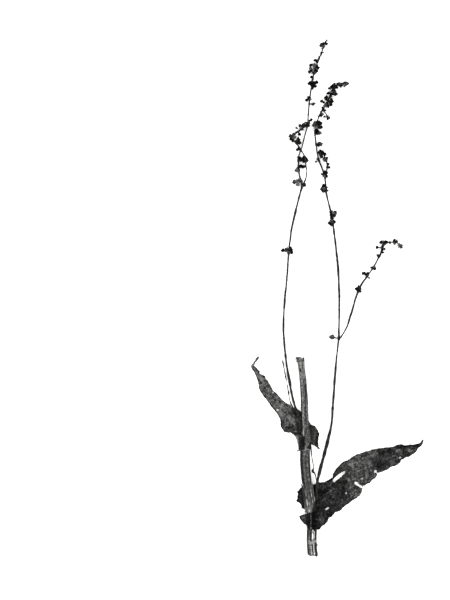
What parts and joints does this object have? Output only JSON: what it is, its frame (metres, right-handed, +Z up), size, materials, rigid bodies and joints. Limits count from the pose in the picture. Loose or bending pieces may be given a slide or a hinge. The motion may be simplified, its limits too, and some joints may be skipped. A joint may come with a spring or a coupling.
{
  "type": "dried sorrel sprig",
  "caption": "Pressed, dried sorrel sprig lying flat: ribbed cut stem, clasping arrow-lobed leaves, papery sheaths and long fruiting branches.",
  "frame": {"origin": "middle of the outline seen from above, on the surface the sprig lies on", "axes": "+Y from the cut foot of the stem to the tips of the fruiting branches, +X to the side the large leaf points to, +Z up from the surface"},
  "size_m": [0.1208, 0.3616, 0.0072],
  "materials": {
    "stem": "dry, ribbed, matt",
    "leaf": "dry, mottled, matt",
    "sheath": "papery, slightly shiny",
    "branch": "dry, matt"
  },
  "bodies": {
    "root": {"main_stem": "stem", "lower_leaf": "leaf", "upper_leaf": "leaf", "lower_ocrea": "sheath", "upper_ocrea": "sheath", "left_branch": "branch", "right_branch": "branch", "side_branch": "branch"}
  },
  "joints": []
}
